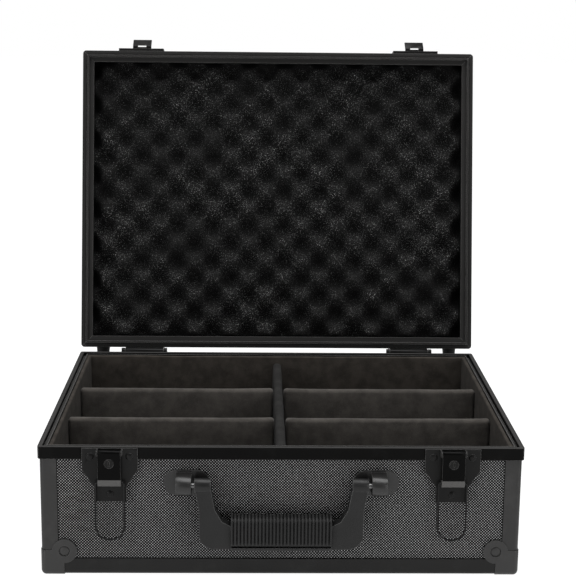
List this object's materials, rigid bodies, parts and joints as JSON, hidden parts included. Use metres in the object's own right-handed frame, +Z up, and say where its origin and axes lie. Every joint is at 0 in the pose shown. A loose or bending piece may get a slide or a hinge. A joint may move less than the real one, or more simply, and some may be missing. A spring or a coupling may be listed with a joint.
{
  "type": "compartmented carry case",
  "caption": "Aluminium-framed hard carry case with a foam-lined hinged lid, felt-lined compartments, two toggle latches with key locks and a folding handle.",
  "frame": {"origin": "on the floor under the centre of the base", "axes": "+X to the right seen from the front, +Y to the hinge side, +Z up; the latches and the handle face -Y"},
  "size_m": [0.455, 0.4906, 0.4801],
  "materials": {
    "frame_black": "black powder-coated aluminium extrusion, satin",
    "cap_black": "black painted pressed steel",
    "hardware_black": "black painted pressed metal, semi-gloss",
    "wire_steel": "blackened steel wire and pin",
    "panel_film": "fibreboard panel under a dark grey woven-look film",
    "lining_felt": "dark brown-grey felt over a thin board",
    "divider_felt": "dark grey felt over a padded board",
    "foam": "charcoal egg-crate foam",
    "handle_plastic": "moulded black plastic, satin",
    "grip_rubber": "ribbed black elastomer",
    "rubber_foot": "black rubber"
  },
  "bodies": {
    "base": {"base_corner_caps": "cap_black", "base_corner_posts": "frame_black", "base_corner_rivets": "cap_black", "base_edge_rails": "frame_black", "base_panel_bottom": "panel_film", "base_panel_front": "panel_film", "base_panel_rear": "panel_film", "base_rear_feet": "rubber_foot", "base_rim_front": "frame_black", "base_rim_left": "frame_black", "base_rim_rear": "frame_black", "base_rim_right": "frame_black", "base_side_panels": "panel_film", "divider_left_front": "divider_felt", "divider_left_rear": "divider_felt", "divider_long": "divider_felt", "divider_right_front": "divider_felt", "divider_right_rear": "divider_felt", "floor_lining": "lining_felt", "handle_bracket_left": "hardware_black", "handle_bracket_right": "hardware_black", "handle_pins": "wire_steel", "hinge_base_leaf_left": "hardware_black", "hinge_base_leaf_right": "hardware_black", "hinge_base_rivets": "hardware_black", "hinge_pins": "wire_steel", "latch_lever_pins": "wire_steel", "latch_plate_left": "hardware_black", "latch_plate_right": "hardware_black", "latch_rivets": "hardware_black", "wall_linings": "lining_felt"},
    "lid": {"hinge_lid_leaf_left": "hardware_black", "hinge_lid_leaf_right": "hardware_black", "hinge_lid_rivets": "hardware_black", "lid_catch_left": "hardware_black", "lid_catch_right": "hardware_black", "lid_catch_rivets": "hardware_black", "lid_corner_caps": "cap_black", "lid_corner_posts": "frame_black", "lid_corner_rivets": "cap_black", "lid_edge_rails": "frame_black", "lid_foam": "foam", "lid_panel_front": "panel_film", "lid_panel_rear": "panel_film", "lid_panel_top": "panel_film", "lid_rear_feet": "rubber_foot", "lid_rim_front": "frame_black", "lid_rim_left": "frame_black", "lid_rim_rear": "frame_black", "lid_rim_right": "frame_black", "lid_side_panels": "panel_film"},
    "handle": {"handle_frame": "handle_plastic", "handle_grip": "grip_rubber"},
    "lever_left": {"latch_lever_left": "hardware_black"},
    "bail_left": {"latch_bail_left": "wire_steel"},
    "lock_left": {"latch_lock_left": "hardware_black"},
    "lever_right": {"latch_lever_right": "hardware_black"},
    "bail_right": {"latch_bail_right": "wire_steel"},
    "lock_right": {"latch_lock_right": "hardware_black"}
  },
  "joints": [
    {"name": "lid_hinge", "type": "hinge", "parent": "base", "child": "lid", "pos_m": [0, 0.1765, 0.128], "axis": [-1, 0, 0], "range_deg": [-102.4, 0]},
    {"name": "latch_lever_left", "type": "hinge", "parent": "base", "child": "lever_left", "pos_m": [-0.16, -0.1785, 0.1238], "axis": [-1, 0, 0], "range_deg": [0, 75]},
    {"name": "latch_bail_left", "type": "hinge", "parent": "lever_left", "child": "bail_left", "pos_m": [-0.16, -0.1785, 0.0952], "axis": [-1, 0, 0], "range_deg": [0, 172]},
    {"name": "latch_lock_left", "type": "hinge", "parent": "lever_left", "child": "lock_left", "pos_m": [-0.16, -0.1815, 0.1145], "axis": [0, 1, 0], "range_deg": [0, 90]},
    {"name": "latch_lever_right", "type": "hinge", "parent": "base", "child": "lever_right", "pos_m": [0.16, -0.1785, 0.1238], "axis": [-1, 0, 0], "range_deg": [0, 75]},
    {"name": "latch_bail_right", "type": "hinge", "parent": "lever_right", "child": "bail_right", "pos_m": [0.16, -0.1785, 0.0952], "axis": [-1, 0, 0], "range_deg": [0, 172]},
    {"name": "latch_lock_right", "type": "hinge", "parent": "lever_right", "child": "lock_right", "pos_m": [0.16, -0.1815, 0.1145], "axis": [0, 1, 0], "range_deg": [0, 90]},
    {"name": "handle_swing", "type": "hinge", "parent": "base", "child": "handle", "pos_m": [0, -0.18145, 0.0938], "axis": [-1, 0, 0], "range_deg": [0, 110]}
  ]
}
